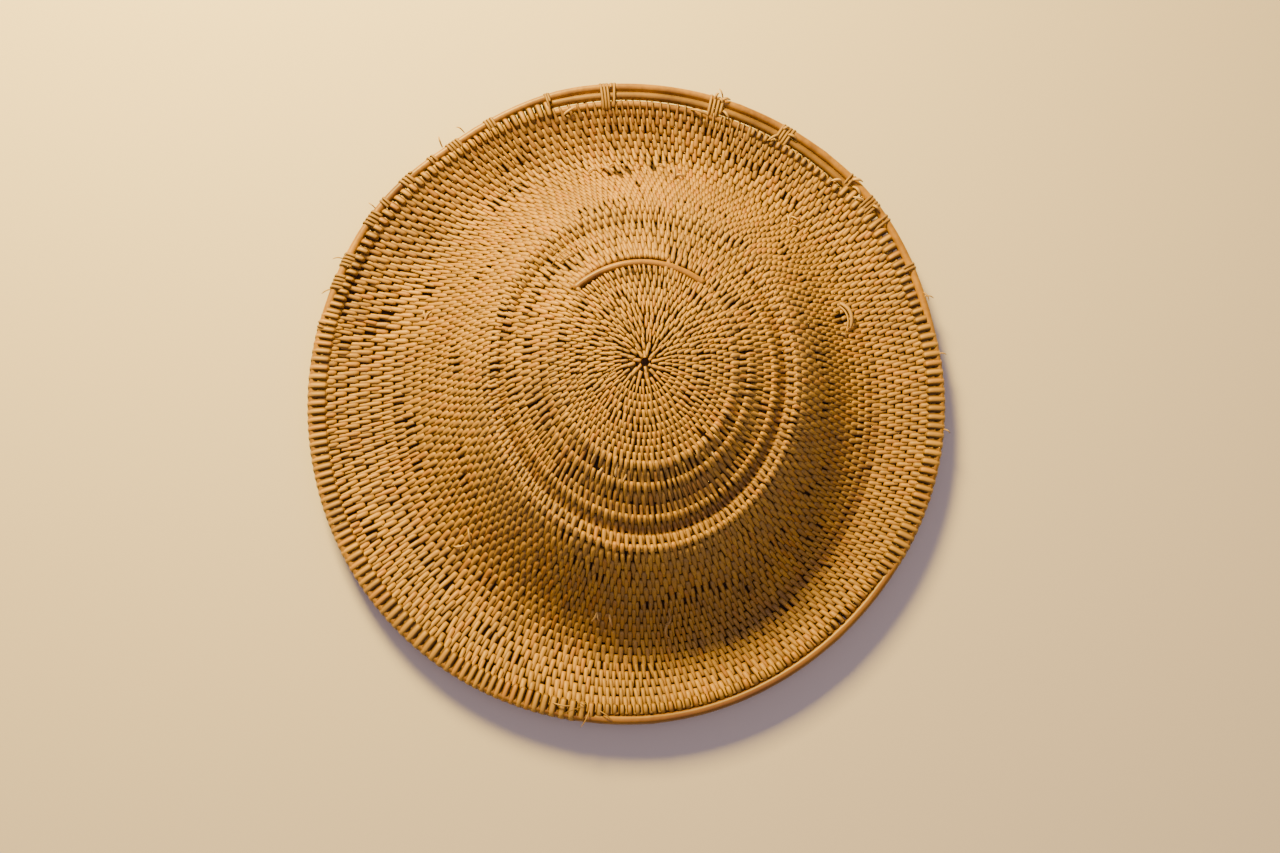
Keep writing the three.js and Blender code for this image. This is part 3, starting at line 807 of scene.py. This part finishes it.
def edge_wraps():
    """Strips of the last row, which go round the outermost coil; low at the left they take in the hoop."""
    aside = from_top(table[1])
    shown = at_edge & ((aside < BARE_EDGE[0]) | (aside > BARE_EDGE[1]))
    bearings, pitches, aside = (column[shown][:, None] for column in (table[1], table[2], aside))
    places, _, _ = form_arrays(loop_form)
    share = (places[:, 2] + 1) / 2
    turn = np.radians(mix(*WRAP_TURN, share))
    covers = sum(smoothstep(bearings, start - COVER_FADE, start + COVER_FADE)
                 * (1 - smoothstep(bearings, end - COVER_FADE, end + COVER_FADE))
                 for start, end in COVERED_HOOP)
    skin = np.maximum(places[:, 1], -UNDERSIDE) * WRAP_THICKNESS
    first, last = INNER_CANE_ENDS
    apart = smoothstep(aside, first, first + CANE_FADE) * (1 - smoothstep(aside, last - CANE_FADE, last))
    to_hoop = HOOP_LINE + spring(aside) - HOOP_THICKNESS / 2 + WRAP_BITE
    outer = mix(mix(to_hoop, WRAP_OUTER, apart), WRAP_OVER_HOOP, covers)
    sideways, upright = np.cos(turn), np.sin(turn)
    squared = np.sign(sideways) * np.abs(sideways) ** mix(1.0, WRAP_SQUARENESS, covers)
    radius = (WRAP_INNER + outer) / 2 + squared * ((outer - WRAP_INNER) / 2 + skin)
    height = HOOP_HEIGHT + upright * (WRAP_HEIGHT + skin) - np.where(share < TUCKED_SHARE, TUCKED_DEPTH, 0.0)
    half = -pitches * mix(*WRAP_WIDTHS, covers) * places[:, 0] * mix(WRAP_ENDS, 1.0, np.sin(share * np.pi))
    swing = np.tan(np.radians(STRIP_LEAN)) * WRAP_LENGTH * share
    bearing = bearings + np.degrees((half + swing) / radius)
    values = {
        "tone": chance.uniform(0, 1, (len(bearings), 1)),
        # dirt and painted shade where the first end is tucked in
        "depth": (share < TUCKED_SHARE + 0.02) * 0.6,
        "along": places[:, 2] * WALL,
        "across": half,
        # painted shade on the outer half of the wraps over the hoop, where they turn down over it
        "stain_and_shade": covers * smoothstep(share, 0.4, 0.7) * 0.6,
        "edge": np.abs(places[:, 0]),
    }
    return repeat_form("edge_wraps", loop_form, warp(radius, bearing, height), values)


add_piece("edge_wraps", edge_wraps(), strip_skin, "woven_rattan")


def ring_form(name, sides, steps, ring_radius, section):
    """A closed round ring, ready to be pulled into shape."""
    shape = bmesh.new()
    circle = bmesh.ops.create_circle(shape, segments=sides, radius=section)
    upright = Matrix.Translation((ring_radius, 0, 0)) @ Matrix.Rotation(math.pi / 2, 4, "X")
    bmesh.ops.transform(shape, matrix=upright, verts=circle["verts"])
    bmesh.ops.spin(shape, geom=list(shape.verts) + list(shape.edges), axis=(0, 0, 1), cent=(0, 0, 0),
                   angle=2 * math.pi, steps=steps, use_merge=True)
    bmesh.ops.recalc_face_normals(shape, faces=shape.faces)
    mesh = bpy.data.meshes.new(name)
    shape.to_mesh(mesh)
    shape.free()
    return mesh


def node_swell(bearings):
    """The slight swellings of a cane at its growth nodes."""
    return sum(np.exp(-(from_top(bearings - node) / NODE_REACH) ** 2) for node in CANE_NODES)


def hoop_mesh():
    """The hoop, sprung off the body along the top, with its nodes and its brown stretch."""
    mesh = ring_form("rim_hoop_cane", sides=12, steps=360, ring_radius=HOOP_LINE, section=HOOP_THICKNESS / 2)
    places, _, _ = form_arrays(mesh)
    bearings = np.degrees(np.arctan2(places[:, 0], places[:, 1]))
    size = 1 + NODE_SWELL * node_swell(bearings)
    radius = HOOP_LINE + (np.hypot(places[:, 0], places[:, 1]) - HOOP_LINE) * size
    points = rim_points(bearings, radius + spring(bearings), places[:, 2] * size + HOOP_HEIGHT)
    mesh.vertices.foreach_set("co", points.ravel())
    mesh.update()
    # its brown stretch: dirt and painted shade
    middle, reach, strength = HOOP_DIRT_AND_SHADE
    layer = mesh.attributes.new("stain_and_shade", "FLOAT", "POINT")
    layer.data.foreach_set("value", strength * np.exp(-(from_top(bearings - middle) / reach) ** 2))
    mesh.shade_smooth()
    return mesh


add_piece("rim_hoop_cane", hoop_mesh(), hoop_cane, "bare_cane", "rim_hoop")


def cane_mesh(name, path, diameter, sides=10):
    """A round cane along a path."""
    form = strip_form(name + "_form", sides, len(path) - 2)
    up = np.array([0.0, 0.0, 1.0])
    return swept_mesh(name, form, [dict(path=path, width=diameter, thickness=diameter, up=up)])


inner_bearings = np.linspace(*INNER_CANE_ENDS, 40)
inner_path = rim_points(inner_bearings, INNER_CANE_LINE, HOOP_HEIGHT)
inner_mesh = cane_mesh("inner_rim_cane_skin", inner_path, INNER_CANE_SHOWN)
add_piece("inner_rim_cane_skin", inner_mesh, bar_cane, "bare_cane", "inner_rim_cane")
last_bearings = np.linspace(BARE_EDGE[0] - LAST_COIL_TUCK, BARE_EDGE[1] + LAST_COIL_TUCK, 60)
last_path = warp(LAST_COIL_LINE, last_bearings, LAST_COIL_HEIGHT)
last_mesh = cane_mesh("bare_last_coil", last_path, LAST_COIL_THICKNESS)
add_piece("bare_last_coil", last_mesh, hoop_cane, "woven_rattan")
arc_bearings = np.linspace(BARE_ARC[0] - ARC_TUCK, BARE_ARC[1] + ARC_TUCK, 40)
arc_radius = ARC_RADIUS + ARC_SPREAD * ((arc_bearings - ARC_MIDDLE) / ARC_REACH) ** 2
arc_mesh = cane_mesh("bare_ridge_cane", on_front(arc_radius, arc_bearings, ARC_LIFT), ARC_THICKNESS)
add_piece("bare_ridge_cane", arc_mesh, hoop_cane, "woven_rattan")


def outward_at(bearing):
    """Directions straight out from the middle."""
    turn = np.radians(bearing)
    return np.stack([np.sin(turn), np.cos(turn), np.zeros_like(turn)], axis=-1)


def lashing_run(bearing, turns, inner, width, slant):
    """A strip that goes a few times round the hoop and what lies just inside it."""
    angle = np.linspace(LASHING_START, math.tau * turns - LASHING_STOP, LASHING_POINTS)
    bearings = bearing + np.linspace(-0.5, 0.5, LASHING_POINTS) * slant
    outer = HOOP_LINE + spring(bearings) + HOOP_THICKNESS / 2 + LASHING_STANDOFF
    reach = (outer - inner) / 2
    up = np.cos(angle)[:, None] * outward_at(bearings) + np.sin(angle)[:, None] * np.array([0.0, 0.0, 1.0])
    height = HOOP_HEIGHT + LASHING_LIFT + np.sin(angle) * (HOOP_THICKNESS / 2 + LASHING_STANDOFF)
    path = rim_points(bearings, (outer + inner) / 2 + np.cos(angle) * reach, height)
    return dict(path=path, width=width * LASHING_WIDENED, thickness=LASHING_SHOWN, up=up)


lashings = [lashing_run(*entry) for entry in LASHINGS]
add_piece("rim_lashings", swept_mesh("rim_lashings", lashing_form, lashings), lashing_strip, "bare_cane")


def strand_run(radius, bearing, heading, length, width, arch, curl):
    """A loose strip end: it leaves the face, arches and lies down again."""
    share = np.linspace(0, 1, STRAND_POINTS)
    turn = np.radians(heading + curl * (share - 0.5))
    step = length / (STRAND_POINTS - 1)
    out = radius + np.append(0, np.cumsum(np.cos(turn[:-1]) * step))
    aside = np.append(0, np.cumsum(np.sin(turn[:-1]) * step))
    bearings = bearing + np.degrees(aside / out)
    lift = STRAND_ROOT * (1 - share) ** 4 + arch * np.sin(share * math.pi) + STRAND_REST * share
    surface = on_front if radius < BODY_RADIUS - WALL else over_edge
    path = surface(out, bearings, lift)
    up = path - np.roll(path, 1, axis=0)
    up = np.cross(np.cross(up, [0.0, 0.0, 1.0]), up)
    up[0] = up[1]
    up /= np.linalg.norm(up, axis=1, keepdims=True)
    thickness = min(width, STRAND_THICKNESS)
    return dict(path=path, width=width * STRAND_WIDENED, thickness=thickness, up=up, taper=STRAND_TAPER)


def over_edge(radius, bearing, lift):
    """Beside and above the hoop, for ends that stand out at the edge."""
    return rim_points(bearing, radius, OVER_EDGE_HEIGHT + lift)


strips = [strand_run(*entry) for entry in STRANDS if entry[4] > THREAD_WIDTH]
threads = [strand_run(*entry) for entry in STRANDS if entry[4] <= THREAD_WIDTH]
add_piece("loose_strip_ends", swept_mesh("loose_strip_ends", thread_form, strips), pale_strip, "woven_rattan")
add_piece("loose_threads", swept_mesh("loose_threads", thread_form, threads), old_strip, "woven_rattan")


def bar_path(node):
    """Middle line of a bar, from its lower end to its upper end, which leans to the right."""
    low, high = (np.array(corner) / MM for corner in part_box(node))
    share = np.linspace(0, 1, BAR_POINTS)
    x = mix(low[0] + BAR_SIDE, high[0] - BAR_SIDE, share)
    y = mix(low[1] + BAR_END, high[1] - BAR_END, share)
    return points_at(x, y, BAR_HEIGHT - BAR_SAG * np.sin(share * math.pi))


def bar_wrap(path, start, end, swell):
    """A strip wound round a bar between two shares of its length."""
    share = np.linspace(start, end, LOOP_POINTS)
    steps = np.linspace(0, 1, len(path))
    centre = np.stack([np.interp(share, steps, column) for column in path.T], axis=-1)
    angle = np.linspace(0, math.tau * BAR_WRAP_TURNS, LOOP_POINTS)
    up = np.stack([np.cos(angle), 0 * angle, np.sin(angle)], axis=-1)
    surface = centre + up * (BAR_THICKNESS / 2 + swell) * MM
    return dict(path=surface, width=BAR_WRAP_WIDTH, thickness=BAR_WRAP_THICKNESS, up=up)


for node in ("arm_bar", "hand_bar"):
    path = bar_path(node)
    bar = cane_mesh(node + "_cane", path, BAR_THICKNESS, sides=12)
    add_piece(node + "_cane", bar, bar_cane, "bar_cane", node)
    wraps = [bar_wrap(path, start, start + GRIP_STEP, GRIP_SWELL) for start in GRIP_STARTS]
    wraps += [bar_wrap(path, start, start + TIE_STEP, TIE_SWELL) for start in TIE_STARTS]
    add_piece(node + "_wrapping", swept_mesh(node + "_wrapping", loop_form, wraps), old_strip, "bar_cane")

# Floor, light and camera.
floor_mesh = bpy.data.meshes.new("floor")
floor_shape = bmesh.new()
bmesh.ops.create_grid(floor_shape, x_segments=1, y_segments=1, size=6)
floor_shape.to_mesh(floor_mesh)
floor_shape.free()
floor = bpy.data.objects.new("floor", floor_mesh)
bpy.context.scene.collection.objects.link(floor)
# Matt paper, warm and pale.
floor_material, _, floor_shader = new_material("pale_paper", 0.9)
floor_shader.inputs["Base Color"].default_value = linear("#d9d4cb")
floor_mesh.materials.append(floor_material)
SHIELD_MIDDLE = Vector((0, 0, 0.05))


def add_area_light(name, place, size, power, colour):
    """A square lamp that faces the middle of the shield."""
    light = bpy.data.lights.new(name, "AREA")
    light.shape = "SQUARE"
    light.size = size
    light.energy = power
    light.color = linear(colour)[:3]
    lamp = bpy.data.objects.new(name, light)
    bpy.context.scene.collection.objects.link(lamp)
    lamp.location = place
    lamp.rotation_euler = (SHIELD_MIDDLE - Vector(place)).to_track_quat("-Z", "Y").to_euler()


add_area_light("key", place=(-0.8, 1.7, 1.4), size=0.6, power=242, colour="#ffd46a")
add_area_light("fill", place=(0.2, -0.6, 2.6), size=2.4, power=17, colour="#ffe2f0")
world = bpy.data.worlds.new("soft_room")
world.use_nodes = True
room = world.node_tree.nodes["Background"]
room.inputs["Color"].default_value = linear("#f0dbe8")
room.inputs["Strength"].default_value = 0.3
bpy.context.scene.world = world

# The photograph's viewpoint, worked out from the shield's own ellipses.
CAMERA_TILT = math.radians(-12.0)
CAMERA_TURN = math.radians(2.3)
CAMERA_OFFSET = Vector((-12.0, 49.0, -1300.0)) * MM
FOCAL_PIXELS = 1037.0
FRAME_PIXELS = 1280.0
camera_data = bpy.data.cameras.new("camera")
camera_data.sensor_width = 36.0
camera_data.lens = FOCAL_PIXELS / FRAME_PIXELS * camera_data.sensor_width
camera = bpy.data.objects.new("camera", camera_data)
bpy.context.scene.collection.objects.link(camera)
to_camera = Matrix.Rotation(CAMERA_TILT, 3, "X") @ Matrix.Rotation(CAMERA_TURN, 3, "Y")
rim_centre = Vector((0, BODY_DROP, BRIM_HEIGHT)) * MM
camera.matrix_world = Matrix.LocRotScale(
    rim_centre - to_camera.transposed() @ CAMERA_OFFSET, to_camera.transposed().to_quaternion(), None)
bpy.context.scene.camera = camera
